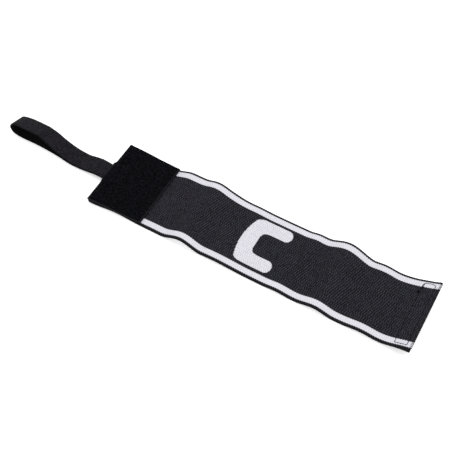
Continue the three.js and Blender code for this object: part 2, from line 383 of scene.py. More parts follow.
def rounded_ring(lanes, edge_steps):
    """A ring round a flat strip with blunt edges, starting at its left edge.

    Returns three columns: the share of the flat half width, the share of the edge radius added
    outside it, and the height as a share of the thickness. The underside comes first. An edge is a
    half circle whose cosine and sine are raised to the power 0.6, which makes it blunter.
    """
    blunt = 0.6
    quarter = np.linspace(0.0, np.pi / 2.0, edge_steps + 1)
    cosine = np.cos(quarter) ** blunt
    sine = np.sin(quarter) ** blunt
    flat = np.linspace(-1.0, 1.0, lanes + 1)
    ones = np.ones(edge_steps)
    low_left = np.column_stack([-ones, -cosine[:-1], 0.5 - 0.5 * sine[:-1]])
    below = np.column_stack([flat, np.zeros(lanes + 1), np.zeros(lanes + 1)])
    low_right = np.column_stack([ones, sine[1:], 0.5 - 0.5 * cosine[1:]])
    lower = np.vstack([low_left, below, low_right])
    upper = lower[1:-1][::-1] * (1.0, 1.0, -1.0) + (0.0, 0.0, 1.0)
    return np.vstack([lower, upper])


def ring_faces(rings, size):
    """Quads between neighbouring rings, and a ladder with two end triangles over each end."""
    here = (np.arange(rings - 1) * size)[:, None]
    i = np.arange(size)[None, :]
    follow = (i + 1) % size
    wall = np.stack([here + i, here + follow, here + size + follow, here + size + i], axis=-1)
    step = np.arange(1, size // 2 - 1)
    ladder = np.stack([step, size - step, size - step - 1, step + 1], axis=-1)
    half = size // 2
    tips = np.array([[0, size - 1, 1], [half - 1, half + 1, half]])
    last = (rings - 1) * size
    quads = np.vstack([wall.reshape(-1, 4), ladder, last + ladder[:, ::-1]])
    return quads.tolist() + tips.tolist() + (last + tips[:, ::-1]).tolist()


def cloth_sheet(stations, ring, half_width, underside, wall):
    """Points of a sheet of cloth: a rounded ring at each station along x.

    A ring's flat part spans the half width less half the wall, its edges are round, and its
    height runs from the underside to the underside plus the wall.
    """
    x = stations[:, None]
    half = half_width(x)
    edge = wall(x, half) / 2.0
    y = ring[None, :, 0] * (half - edge) + ring[None, :, 1] * edge
    x = np.broadcast_to(x, y.shape)
    z = underside(x, y) + wall(x, y) * ring[None, :, 2]
    return np.stack([x, y, z], axis=-1)


def arc_length(points):
    """Running length along the first axis of an array of points."""
    steps = np.linalg.norm(np.diff(points, axis=0), axis=-1)
    return np.concatenate([[0.0], np.cumsum(steps)])


def curve_through(points, parts):
    """A centripetal Catmull-Rom curve, at parts from 0 to 1 that share its spans evenly.

    Each span is a cubic whose end slopes weigh the neighbouring chords by the square roots of
    their lengths. The curve goes on straight beyond its first and last points.
    """
    before = 2.0 * points[0] - points[1]
    after = 2.0 * points[-1] - points[-2]
    rows = np.vstack([before, points, after])
    place = parts * (len(points) - 1)
    span = np.minimum(place.astype(int), len(points) - 2)
    t = (place - span)[:, None]
    a, b, c, d = (rows[span + k] for k in range(4))
    ab, bc, cd = (np.sqrt(np.linalg.norm(q - p, axis=1))[:, None] for p, q in ((a, b), (b, c), (c, d)))
    slope_b = bc * ((b - a) / ab - (c - a) / (ab + bc) + (c - b) / bc)
    slope_c = bc * ((c - b) / bc - (d - b) / (bc + cd) + (d - c) / cd)
    return (b * (2 * t ** 3 - 3 * t ** 2 + 1) + slope_b * (t ** 3 - 2 * t ** 2 + t)
            + c * (3 * t ** 2 - 2 * t ** 3) + slope_c * (t ** 3 - t ** 2))


def strap_edge(band, strap, side, parts):
    """Points along one edge of the strap's middle layer, out along the upper run and back."""
    start, _ = band_ends()
    layer = strap.thickness + GAP
    lowest = strap.thickness / 2.0
    highest = strap.loop_height - strap.thickness / 2.0
    insets = np.array([1.0, 0.5, 0.0]) * strap.tail
    upper = np.array(UPPER_RUN)
    lower = np.array(LOWER_RUN)
    column = RUN_COLUMNS.index(side)
    runs = np.vstack([upper, lower])
    x = np.concatenate([start + insets, start - runs[:, 0] * strap.reach, start + insets[::-1]])
    on_band = band_top(band, start + insets, np.full(3, strap.offset)) + GAP + strap.thickness / 2.0
    z = np.concatenate([on_band + layer, mix(lowest, highest, runs[:, column]), on_band[::-1]])
    veer = strap.veer * smoothstep(start - x, strap.veer_from, strap.veer_from + strap.veer_length)
    half = strap.width / 2.0 if side == "far" else -strap.width / 2.0
    points = curve_through(np.column_stack([x, strap.offset + veer + half, z]), parts)
    points[:, 2] = np.maximum(points[:, 2], lowest)
    return points


def tubes(paths, radius, sides):
    """Round tubes along many paths at once, with closed ends.

    Paths is an array of tubes by points by 3. Each ring stands square to its path: its first
    direction is the cross product of the path's direction with a fixed side direction of the tube.
    """
    count, length, _ = paths.shape
    forward = np.gradient(paths, axis=1)
    forward /= np.linalg.norm(forward, axis=-1, keepdims=True)
    chord = paths[:, -1] - paths[:, 0]
    rise = paths[:, length // 2] - (paths[:, 0] + paths[:, -1]) / 2.0
    side = np.cross(chord, rise)
    side /= np.linalg.norm(side, axis=-1, keepdims=True)
    side = np.broadcast_to(side[:, None, :], forward.shape)
    upright = np.cross(side, forward)
    upright /= np.linalg.norm(upright, axis=-1, keepdims=True)
    angle = np.arange(sides) * 2.0 * np.pi / sides
    around = (side[:, :, None, :] * np.cos(angle)[None, None, :, None]
              + upright[:, :, None, :] * np.sin(angle)[None, None, :, None])
    points = paths[:, :, None, :] + radius * around
    i = np.arange(sides)
    follow = (i + 1) % sides
    ring = (np.arange(length - 1) * sides)[:, None]
    wall = np.stack([ring + i, ring + follow, ring + sides + follow, ring + sides + i], axis=-1)
    first = np.arange(count)[:, None, None, None] * length * sides
    quads = (first + wall[None]).reshape(-1, 4).tolist()
    starts = np.arange(count)[:, None] * length * sides
    low_caps = (starts + i[::-1]).tolist()
    high_caps = (starts + (length - 1) * sides + i).tolist()
    along = np.linalg.norm(np.diff(paths, axis=1), axis=-1).cumsum(axis=1)
    along = np.concatenate([np.zeros((count, 1)), along], axis=1)
    uv = np.stack(np.broadcast_arrays(along[:, :, None], (angle / (2.0 * np.pi))[None, None, :]), axis=-1)
    return points.reshape(-1, 3), quads + low_caps + high_caps, uv.reshape(-1, 2)


def walked(sides, step):
    """Places along sides that follow each other: even steps on each, as near to the step as fits."""
    places = [np.asarray(sides[0])[:1]]
    for side in map(np.asarray, sides):
        run = arc_length(side)
        count = max(1, round(run[-1] / step))
        at = np.linspace(0.0, run[-1], count + 1)[1:]
        places.append(np.column_stack([np.interp(at, run, side[:, k]) for k in range(2)]))
    return np.vstack(places)


def sewn(places, height, thread):
    """Paths of stitches between neighbouring places on a face whose height is a function.

    A stitch comes up out of the cloth, lies on it and goes down again: its rise is a flattened
    sine wave that starts and ends one thread's thickness below the face.
    """
    t = np.linspace(0.04, 0.96, 8)[None, :, None]
    flat = places[:-1, None, :] * (1.0 - t) + places[1:, None, :] * t
    rise = thread.diameter * (1.3 * np.sin(np.pi * t[..., 0]) ** 0.5 - 1.0)
    z = height(flat[..., 0], flat[..., 1]) + rise
    return np.concatenate([flat, z[..., None]], axis=-1)


# Pieces, nodes and materials


def new_piece(name, points, faces, material, uv=None):
    """A mesh object at the origin, smooth but for its sharp edges, with one material."""
    old = bpy.data.objects.get(name)
    if old is not None:
        bpy.data.objects.remove(old, do_unlink=True)
    mesh = bpy.data.meshes.new(name)
    mesh.from_pydata(np.asarray(points).reshape(-1, 3).tolist(), [], faces)
    if uv is not None:
        corner = np.empty(len(mesh.loops), dtype=np.int32)
        mesh.loops.foreach_get("vertex_index", corner)
        layer = mesh.uv_layers.new(name=UV_NAME)
        layer.data.foreach_set("uv", np.asarray(uv).reshape(-1, 2)[corner].ravel())
    mesh.materials.append(material)
    mesh.shade_smooth()
    mesh.set_sharp_from_angle(angle=math.radians(55.0))
    mesh.update()
    piece = bpy.data.objects.new(name, mesh)
    bpy.context.scene.collection.objects.link(piece)
    return piece


class Signal:
    """What a node puts out, so that a formula reads as it is written."""

    def __init__(self, socket):
        self.socket = socket
        self.tree = socket.id_data

    def __add__(self, other):
        return maths("ADD", self, other)

    def __sub__(self, other):
        return maths("SUBTRACT", self, other)

    def __rsub__(self, other):
        return maths("SUBTRACT", other, self)

    def __mul__(self, other):
        return maths("MULTIPLY", self, other)

    def __truediv__(self, other):
        return maths("DIVIDE", self, other)

    def __abs__(self):
        return maths("ABSOLUTE", self)


def add_node(tree, kind, inputs=(), **settings):
    """One node with its settings; each input is given a number, a colour or a signal."""
    made = tree.nodes.new(kind)
    for key, value in settings.items():
        setattr(made, key, value)
    for key, value in dict(inputs).items():
        if isinstance(value, Signal):
            tree.links.new(value.socket, made.inputs[key])
        else:
            made.inputs[key].default_value = value
    return made


def signal(tree, kind, inputs=(), output=0, **settings):
    """One output of a new node."""
    return Signal(add_node(tree, kind, inputs, **settings).outputs[output])


def maths(operation, *values):
    """The result of one Math node that has a signal among its values."""
    tree = next(value.tree for value in values if isinstance(value, Signal))
    return signal(tree, "ShaderNodeMath", enumerate(values), operation=operation)


def vectors(operation, *values):
    """The result of one Vector Math node whose first value is a signal."""
    output = "Value" if operation == "LENGTH" else "Vector"
    return signal(values[0].tree, "ShaderNodeVectorMath", enumerate(values), output, operation=operation)


def in_plane(along, across):
    """A vector in the plane, from its two parts."""
    return signal(along.tree, "ShaderNodeCombineXYZ", {0: along, 1: across})


def plane_parts(vector):
    """A vector's first two parts."""
    parts = add_node(vector.tree, "ShaderNodeSeparateXYZ", {0: vector}).outputs
    return Signal(parts[0]), Signal(parts[1])


def object_place(tree):
    """The place in the object, in metres."""
    return signal(tree, "ShaderNodeTexCoord", output="Object")


def attribute(tree, name):
    """A number that the piece has at each point."""
    return signal(tree, "ShaderNodeAttribute", output="Fac", attribute_name=name)


def noise(place, scale, detail, output=0):
    """A soft noise at a place."""
    inputs = {"Vector": place, "Scale": scale, "Detail": detail}
    return signal(place.tree, "ShaderNodeTexNoise", inputs, output)


def chance(cell):
    """A random number for each cell of the plane."""
    return signal(cell.tree, "ShaderNodeTexWhiteNoise", {"Vector": cell}, "Value", noise_dimensions="2D")


def ramp(value, low, high):
    """Nothing up to low, one from high on, with a smooth step between."""
    inputs = {0: value, 1: low, 2: high}
    return signal(value.tree, "ShaderNodeMapRange", inputs, interpolation_type="SMOOTHSTEP")


def blend(part, first, second):
    """A colour between two others."""
    inputs = {0: part, 6: first, 7: second}
    return signal(part.tree, "ShaderNodeMix", inputs, 2, data_type="RGBA")


def opaque(colour, scale=1.0):
    """A colour with full alpha, made lighter or darker."""
    return tuple(min(1.0, part * scale) for part in colour) + (1.0,)


def new_group(name, inputs, outputs):
    """An empty node group with its sockets, and what is given to it as signals."""
    group = bpy.data.node_groups.new(name, "ShaderNodeTree")
    for label, default in inputs.items():
        kind = "NodeSocketVector" if isinstance(default, tuple) else "NodeSocketFloat"
        socket = group.interface.new_socket(label, in_out="INPUT", socket_type=kind)
        socket.default_value = default
    for label in outputs:
        group.interface.new_socket(label, in_out="OUTPUT", socket_type="NodeSocketFloat")
    given = group.nodes.new("NodeGroupInput").outputs
    return group, {label: Signal(given[label]) for label in inputs}


def shared(name, build, inputs):
    """What a shared group puts out for its own inputs; the group is built on first use."""
    group = bpy.data.node_groups.get(name) or build(name)
    tree = next(value.tree for value in inputs.values() if isinstance(value, Signal))
    made = add_node(tree, "ShaderNodeGroup", inputs, node_tree=group)
    return {socket.name: Signal(socket) for socket in made.outputs}


def weave_group(name):
    """Yarn floats of a woven elastic, from places along and across the cloth.

    The cloth is cut into lanes. In each lane the floats follow each other one pitch apart, and a
    lane starts the slant times its distance further on, give or take its unevenness. A float's
    height is a cosine along it times a parabola across it. A pit is where both the cosine and the
    distance from the lane's middle say that floats meet. Each float has its own random tone.
    """
    group, given = new_group(name, {
        "Along": 0.0, "Across": 0.0, "Pitch": 0.002, "Lane": 0.0016, "Slant": 0.0, "Unevenness": 0.0,
    }, ("Height", "Tone", "Pit"))
    lane = given["Across"] / given["Lane"]
    lane_number = maths("FLOOR", lane)
    in_lane = maths("FRACT", lane) - 0.5
    stray = signal(group, "ShaderNodeTexWhiteNoise", {"W": lane_number}, "Value", noise_dimensions="1D")
    run = (given["Along"] - lane_number * given["Lane"] * given["Slant"]) / given["Pitch"]
    run = run + stray * given["Unevenness"]
    length_wave = maths("COSINE", (maths("FRACT", run) - 0.5) * math.pi)
    width_wave = in_lane * in_lane * -2.4 + 1.0
    add_node(group, "NodeGroupOutput", {
        "Height": length_wave * width_wave,
        "Tone": chance(in_plane(lane_number, maths("FLOOR", run))),
        "Pit": (1.0 - length_wave) * (abs(in_lane) * 2.0),
    })
    return group


def yarn_floats(along, across, pitch, lane, slant=0.0, unevenness=0.0):
    """The shared floats, with a cloth's own pitch and lanes."""
    return shared("yarn_floats", weave_group, {
        "Along": along, "Across": across, "Pitch": pitch, "Lane": lane, "Slant": slant,
        "Unevenness": unevenness})


def rounded_box_group(name):
    """Distance from a point to a box with round corners, in the plane, less than nothing inside.

    The point's distances past the box's sides, less the corner, give the length of their positive
    parts, plus the larger of the two where both are negative, less the corner.
    """
    group, given = new_group(name, {
        "Point": (0.0, 0.0, 0.0),
        "Middle": (0.0, 0.0, 0.0),
        "Half Size": (0.01, 0.01, 0.0),
        "Corner": 0.001,
    }, ("Distance",))
    offset = vectors("ABSOLUTE", vectors("SUBTRACT", given["Point"], given["Middle"]))
    corner = in_plane(given["Corner"], given["Corner"])
    beyond = vectors("ADD", vectors("SUBTRACT", offset, given["Half Size"]), corner)
    outside = vectors("LENGTH", vectors("MAXIMUM", beyond, (0.0, 0.0, 0.0)))
    inside = maths("MINIMUM", maths("MAXIMUM", *plane_parts(beyond)), 0.0)
    add_node(group, "NodeGroupOutput", {"Distance": outside + inside - given["Corner"]})
    return group


def wear_group(name):
    """Slow changes of tone, from a place in the object: two noises of different size share them."""
    group, given = new_group(name, {"Place": (0.0, 0.0, 0.0), "Scale": 90.0}, ("Shade",))
    wide = noise(given["Place"], given["Scale"], 3.0)
    fine = noise(given["Place"], FINE_WEAR, 2.0)
    add_node(group, "NodeGroupOutput", {"Shade": wide * 0.6 + fine * 0.4})
    return group


def worn(place, scale):
    """The shared change of tone at a place."""
    return shared("cloth_wear", wear_group, {"Place": place, "Scale": scale})["Shade"]


def new_material(name, roughness, specular, sheen=0.0):
    """A material with its tree and its shader, whose fixed values are set on the shader itself."""
    old = bpy.data.materials.get(name)
    if old is not None:
        bpy.data.materials.remove(old)
    material = bpy.data.materials.new(name)
    material.use_nodes = True
    shader = material.node_tree.nodes["Principled BSDF"]
    shader.inputs["Roughness"].default_value = roughness
    shader.inputs["Specular IOR Level"].default_value = specular
    shader.inputs["Sheen Weight"].default_value = sheen
    shader.inputs["Sheen Roughness"].default_value = 0.5
    return material, material.node_tree, shader


def cloth_place(tree):
    """Places along and across the cloth, from the piece's own map, in metres."""
    return plane_parts(signal(tree, "ShaderNodeUVMap", uv_map=UV_NAME))


def colour_with(colour, shader):
    """Join a colour that changes over the surface to the shader."""
    colour.tree.links.new(colour.socket, shader.inputs["Base Color"])


def finish_cloth(shader, colour, height, depth):
    """Join the colour and a bump of the given depth to the shader."""
    inputs = {"Strength": 1.0, "Distance": depth, "Height": height}
    bump = add_node(colour.tree, "ShaderNodeBump", inputs)
    colour.tree.links.new(bump.outputs[0], shader.inputs["Normal"])
    colour_with(colour, shader)


def letter_distance(place):
    """Distance to a plain block C of two arms and a bar, less than nothing inside it.

    Each arm and the bar is a rounded box. They are joined by a smooth minimum, which rounds the
    inner corners, and cut by two large rounded boxes, each of which rounds one outer corner, and
    by a disc, which bows the C's back.
    """
    box = {}
    for name, (middle, half, corner) in LETTER_BOXES.items():
        box[name] = shared("rounded_box", rounded_box_group, {
            "Point": place, "Middle": (*middle, 0.0), "Half Size": (*half, 0.0), "Corner": corner,
        })["Distance"]
    joined = maths("SMOOTH_MIN", box["upper arm"], box["bar"], UPPER_JOINT)
    joined = maths("SMOOTH_MIN", joined, box["lower arm"], LOWER_JOINT)
    for cut in ("far corner", "near corner", "back"):
        joined = maths("MAXIMUM", joined, box[cut])
    return joined


def band_material(band, letter_middle):
    """Dark ribbed elastic with its two white stripes and white C woven in."""
    material, tree, shader = new_material("woven_elastic", 0.85, 0.08, 0.02)
    along, across = cloth_place(tree)
    field = yarn_floats(along, across, band.rib_pitch, band.lane, band.slant, 0.35)
    pale = yarn_floats(along, across, 0.9 * band.rib_pitch, 0.8 * band.lane, 0.25, 0.6)
    ribs = yarn_floats(along, across, band.rib_pitch, band.width)

    # The white parts end where a yarn ends, so their edges are stepped by small cells
    cell = (band.rib_pitch / 3.0, band.lane / 4.0, 1.0)
    stepped = vectors("SNAP", in_plane(along, across), cell)
    stepped = vectors("ADD", stepped, (cell[0] / 2.0, cell[1] / 2.0, 0.0))
    from_letter = vectors("SUBTRACT", stepped, (letter_middle, band.letter_shift, 0.0))
    letter = ramp(letter_distance(from_letter), DYE_BLEED, -DYE_BLEED)
    letter = letter * attribute(tree, "upper_face")
    middle = band.width / 2.0 - band.stripe_inset - band.stripe_width / 2.0
    away = abs(abs(across + band.stripe_shift) - middle)
    teeth = (ribs["Height"] - MEAN_TOOTH) * TOOTH
    stripe = ramp(band.stripe_width / 2.0 - away + teeth, -DYE_BLEED, DYE_BLEED)
    # The cut end under the patch is dark all along
    stripe = stripe * ramp(along, CUT_END, CUT_END + 0.0004)
    white = maths("MAXIMUM", letter, stripe)

    place = object_place(tree)
    grain = chance(stepped)
    # Painted light and shade of the weave: the field is lighter on each float's crest and darker between
    # floats, times its random tone, grain and slow changes.
    dark_height = ramp(field["Height"], 0.25, 0.9)
    lit = (dark_height * 0.85 + 0.08) * (field["Tone"] * 0.5 + 0.7)
    lit = lit * (grain * 1.6 + 0.2) * (worn(place, 70.0) * 0.8 + 0.6)
    dark = blend(lit, opaque(band.field, 0.12), opaque(band.field, 2.8))
    dye = noise(place, 160.0, 1.0, "Color")
    dark = vectors("MULTIPLY", dark, vectors("MULTIPLY_ADD", dye, (0.2, 0.2, 0.2), (0.9, 0.9, 0.9)))
    # Painted shade: the outer millimetre of each side, with its rounded edge, is darker than the field.
    edge = ramp(abs(across), band.width / 2.0 - 0.0010, band.width / 2.0)
    dark = blend(edge, dark, opaque(band.field, 0.45))

    # Painted shade in the pits where pale floats meet, and painted light on their crests.
    pale_pit_shade = 1.0 - ramp(pale["Pit"], 0.1, 0.6)
    pale_lit = (ramp(pale["Height"], 0.0, 0.6) * 0.25 + 0.69) * pale_pit_shade * (pale["Tone"] * 0.3 + 0.8)
    pale_lit = pale_lit + (grain - 0.5) * 0.5
    # The stripes' weave shows less than the C's
    pale_lit = (pale_lit - 0.7) * (letter * 0.35 + 0.4) + 0.7
    light = blend(pale_lit, opaque(band.white, 0.64), opaque(band.white, 1.09))
    height = maths("MAXIMUM", pale_lit * white, dark_height * (1.0 - white))
    finish_cloth(shader, blend(white, dark, light), height, 0.00016)
    return material


def strap_material(strap):
    """Narrow black elastic: lengthwise cords crossed by fine picks, and an inner face darkened by painted
    shade.
    """
    material, tree, shader = new_material("strap_elastic", 0.85, 0.07, 0.02)
    along, across = cloth_place(tree)
    cords = yarn_floats(across, along, strap.cord_pitch, strap.pick_pitch, unevenness=0.12)
    # Painted light: the cords are lighter on their crests and darker between them, times each cord's
    # random tone.
    lit = (ramp(cords["Height"], 0.3, 0.95) * 0.75 + 0.15) * (cords["Tone"] * 1.1 + 0.4)
    lit = lit * (worn(object_place(tree), 120.0) * 1.4 + 0.3)
    colour = blend(lit, opaque(strap.colour, 0.1), opaque(strap.colour, 2.6))
    # Painted shade: the loop's inner face is darkened to a quarter of the strap's colour.
    colour = blend(attribute(tree, "shaded_inner_face"), colour, opaque(strap.colour, 0.25))
    finish_cloth(shader, colour, cords["Height"], 0.00012)
    return material


def patch_material(patch):
    """The patch's ground: a woven rim that turns black and rough where the pile stands."""
    material, tree, shader = new_material("patch_tape", 0.95, 0.05, 0.01)
    along, across = cloth_place(tree)
    ground = yarn_floats(across, along, 0.0011, 0.0007, unevenness=0.2)
    shade = worn(object_place(tree), 520.0)
    # Painted light: the rim's floats are lighter on their crests and darker between them, times their
    # random tone; the rim's grey is partly a painted highlight along the tape's edge.
    lit = ground["Height"] * (ground["Tone"] * 0.4 + 0.7)
    rim = blend(lit, opaque(patch.edge, 0.5), opaque(patch.edge, 1.6))
    fluff = blend(ramp(shade, 0.42, 0.62), opaque(patch.pile, 0.2), opaque(patch.pile, 1.6))
    colour = blend(attribute(tree, "pile"), rim, fluff)
    finish_cloth(shader, colour, ground["Height"] * 0.5 + shade, 0.00015)
    return material


def pile_material(patch):
    """Brushed black yarn, lighter in some clumps of loops than in others."""
    material, tree, shader = new_material("loop_pile", 0.95, 0.03, 0.012)
    clump = ramp(worn(object_place(tree), 1250.0), 0.5, 0.58)
    colour_with(blend(clump, opaque(patch.pile, 0.1), opaque(patch.pile, 13.0)), shader)
    return material


def hook_material(hooks):
    """Moulded black nylon."""
    material, tree, shader = new_material("moulded_hooks", 0.5, 0.25)
    shade = worn(object_place(tree), 300.0)
    colour = blend(shade, opaque(hooks.colour, 0.6), opaque(hooks.colour, 1.4))
    finish_cloth(shader, colour, shade, 0.00003)
    return material


def thread_material(name, colour):
    """Twisted thread: slanted plies from the places along and round it, each painted lighter on its
    crest.
    """
    material, tree, shader = new_material(name, 0.8, 0.08, 0.01)
    along, around = cloth_place(tree)
    turn = along * (2.0 * math.pi / PLY_PITCH) + around * (4.0 * math.pi)
    ply = maths("SINE", turn) * 0.5 + 0.5
    # Painted light: the thread's colour is lighter on each ply's crest and darker in the groove between
    # plies.
    finish_cloth(shader, blend(ply, opaque(colour, 0.5), opaque(colour, 1.3)), ply, 0.00004)
    return material


def add_attribute(piece, name, values):
    """One number for each point of the piece, for its material to read."""
    layer = piece.data.attributes.new(name, "FLOAT", "POINT")
    layer.data.foreach_set("value", np.ascontiguousarray(values, dtype=np.float32).ravel())


# Operators


def stand_in(node, *pieces):
    """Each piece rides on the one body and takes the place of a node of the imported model."""
    for piece in pieces:
        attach(piece, "root")
        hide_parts(node)


class ARMBAND_OT_stage(bpy.types.Operator):
    """Floor, soft lights and camera."""

    bl_idname = "armband.stage"
    bl_label = "Floor, Lights and Camera"

    floor_drop = 0.00004
    key_size = 1.2
    key_place = (0.25, 0.5, 1.6)

    def execute(self, context):
        stage = context.scene.armband_stage
        self.make_floor(stage)
        self.make_lights(context, stage)
        self.make_camera(context, stage)
        return {"FINISHED"}

    def make_floor(self, stage):
        half = stage.floor_size / 2.0
        below = -self.floor_drop
        corners = [(-half, -half, below), (half, -half, below), (half, half, below), (-half, half, below)]
        material, tree, shader = new_material("pale_floor", 0.9, 0.1)
        grain = noise(object_place(tree), 300.0, 2.0)
        colour_with(blend(grain, opaque(stage.floor, 0.995), opaque(stage.floor, 1.005)), shader)
        shader.inputs["Emission Color"].default_value = (1.0, 1.0, 1.0, 1.0)
        shader.inputs["Emission Strength"].default_value = stage.glow
        floor = new_piece("floor", corners, [(0, 1, 2, 3)], material)

    def make_lights(self, context, stage):
        world = bpy.data.worlds.new("even_light")
        world.use_nodes = True
        dome = world.node_tree.nodes["Background"]
        dome.inputs["Color"].default_value = (1.0, 1.0, 1.0, 1.0)
        dome.inputs["Strength"].default_value = stage.dome
        context.scene.world = world
        lamp = bpy.data.lights.new("key_light", "AREA")
        lamp.shape = "SQUARE"
        lamp.size = self.key_size
        lamp.energy = stage.key
        key = bpy.data.objects.new("key_light", lamp)
        key.location = self.key_place
        key.rotation_euler = aimed(self.key_place, (0.0, 0.0, 0.0))
        context.scene.collection.objects.link(key)

    @staticmethod
    def make_camera(context, stage):
        lens = bpy.data.cameras.new("camera")
        lens.sensor_width = 36.0
        lens.lens = stage.focal_length
        lens.clip_start = 0.01
        camera = bpy.data.objects.new("camera", lens)
        camera.location = stage.camera_place
        camera.rotation_euler = aimed(stage.camera_place, stage.camera_aim)
        context.scene.collection.objects.link(camera)
        context.scene.camera = camera
        context.scene.view_settings.view_transform = "Standard"


def aimed(place, target):
    """The turn that makes a camera or a light at a place look at a target."""
    return (Vector(target) - Vector(place)).to_track_quat("-Z", "Y").to_euler()


class ARMBAND_OT_band(bpy.types.Operator):
    """The wide woven elastic with its folds, its stripes and its C."""

    bl_idname = "armband.band"
    bl_label = "Woven Band"

    samples_per_rib = 5
    lanes = 40
    rib_depth = 0.00005
    scallop = 0.00008
    corner_steps = (0.0, 0.04, 0.12, 0.25, 0.45, 0.7)
    ripple_depth = 0.00002
    ripples = ((210.0, 95.0, 0.0), (131.0, -160.0, 1.7), (330.0, 40.0, 0.6))

    def execute(self, context):
        band = context.scene.armband_band
        start, end = band_ends()
        steps = np.array(self.corner_steps)
        stations = np.concatenate([
            start + steps * band.sewn_corner,
            self.even(start + band.sewn_corner, end - band.hook_corner, band),
            end - steps[::-1] * band.hook_corner,
        ])
        ring = rounded_ring(self.lanes, 5)

        def turn(x, y):
            return 2.0 * np.pi * (x - start - band.slant * y) / band.rib_pitch

        def half_width(x):
            round_off = corner_cut(x - start, band.sewn_corner) + corner_cut(end - x, band.hook_corner)
            scallop = self.scallop * (np.cos(turn(x, 0.0)) - 1.0)
            return band_half_width(band, x) + band.selvedge - round_off + scallop

        def wall(x, y):
            field = smoothstep(band.width / 2.0 - np.abs(y), 0.0, 0.002)
            return band.thickness + self.rib_depth * field * np.cos(turn(x, y))

        points = cloth_sheet(stations, ring, half_width,
                             lambda x, y: band_underside(band, x, y) + self.ripple(x, y), wall)
        points[..., 1] = rolled(band, points[..., 0], points[..., 1])
        middle = np.column_stack([stations, band_top(band, stations, np.zeros(len(stations)))])
        run = arc_length(middle)
        uv = np.stack([np.broadcast_to(run[:, None], points.shape[:2]), points[..., 1]], axis=-1)
        letter_middle = np.interp(start + band.letter_at, stations, run)
        material = band_material(band, float(letter_middle))
        piece = new_piece("band_elastic", points, ring_faces(len(stations), len(ring)), material, uv)
        add_attribute(piece, "upper_face", np.broadcast_to(ring[None, :, 2] > 0.5, points.shape[:2]))
        stand_in("band", piece)
        return {"FINISHED"}

    def even(self, low, high, band):
        """Stations at a fixed number to each rib."""
        count = round((high - low) / band.rib_pitch * self.samples_per_rib)
        return np.linspace(low, high, count + 1)

    def ripple(self, x, y):
        """Faint unevenness of a worn elastic: three long waves that cross each other."""
        waves = [1.0 + np.sin(x * along + y * across + shift) for along, across, shift in self.ripples]
        return self.ripple_depth * sum(waves)


class ARMBAND_OT_patch(bpy.types.Operator):
    """The soft patch: a woven ground with a rim, and its pile of small loops."""

    bl_idname = "armband.patch"
    bl_label = "Loop Patch"

    step = 0.0006
    lanes = 104
    lip = 0.00015
    bedding = 0.8
    mean_flare = 0.6
    arch_points = 5

    def execute(self, context):
        band = context.scene.armband_band
        patch = context.scene.armband_patch
        start, _ = band_ends()
        count = round(patch.length / self.step)
        inner = np.linspace(0.0, patch.length, count + 1)[1:-1]
        last = [patch.length - self.lip, patch.length]
        stations = start + np.concatenate([[0.0, self.lip], inner, last])
        ring = rounded_ring(self.lanes, 4)

        def wall(x, y):
            bed = pile_bed(band, patch, x, y) * self.bedding * patch.loop_height
            return patch_wall(band, patch, x, y) - bed

        points = cloth_sheet(stations, ring, lambda x: band_half_width(band, x),
                             lambda x, y: patch_underside(band, x, y), wall)
        piece = new_piece("patch_ground", points, ring_faces(len(stations), len(ring)),
                          patch_material(patch), points[..., :2])
        add_attribute(piece, "pile", pile_bed(band, patch, points[..., 0], points[..., 1]))
        pile = self.make_pile(band, patch, start, wall)
        stand_in("loop_patch", piece, pile)
        return {"FINISHED"}

    def make_pile(self, band, patch, start, wall):
        """Loops at random places: each a sine arch between two feet, leaning its own way."""
        rng = np.random.default_rng(11)
        x = start + patch.end_rim + rng.random(patch.loops) * (patch.length - 2.0 * patch.end_rim)
        half = band_half_width(band, x) - patch.rim * 0.8
        y = half * mix(-1.0, 1.0, rng.random(patch.loops))
        heading = 2.0 * np.pi * rng.random(patch.loops)
        spread = patch.loop_height * mix(0.35, 0.85, rng.random(patch.loops))
        tall = patch.loop_height * mix(0.75, 1.2, rng.random(patch.loops))
        tall = tall * mix(0.55, 1.0, pile_bed(band, patch, x, y))
        lean = rng.normal(0.0, 0.35, (patch.loops, 2)) * tall[:, None]
        t = np.linspace(0.0, 1.0, self.arch_points)[None, :]
        arch = np.sin(np.pi * t) ** 0.8
        swing = (t - 0.5) * spread[:, None]
        px = x[:, None] + swing * np.cos(heading)[:, None] + lean[:, :1] * arch
        py = y[:, None] + swing * np.sin(heading)[:, None] + lean[:, 1:] * arch
        foot = patch_underside(band, x, y) + wall(x, y) - 0.00005
        pz = foot[:, None] + tall[:, None] * arch
        points, faces, _ = tubes(np.stack([px, py, pz], axis=-1), patch.yarn / 2.0, 3)
        return new_piece("patch_pile", points, faces, pile_material(patch))


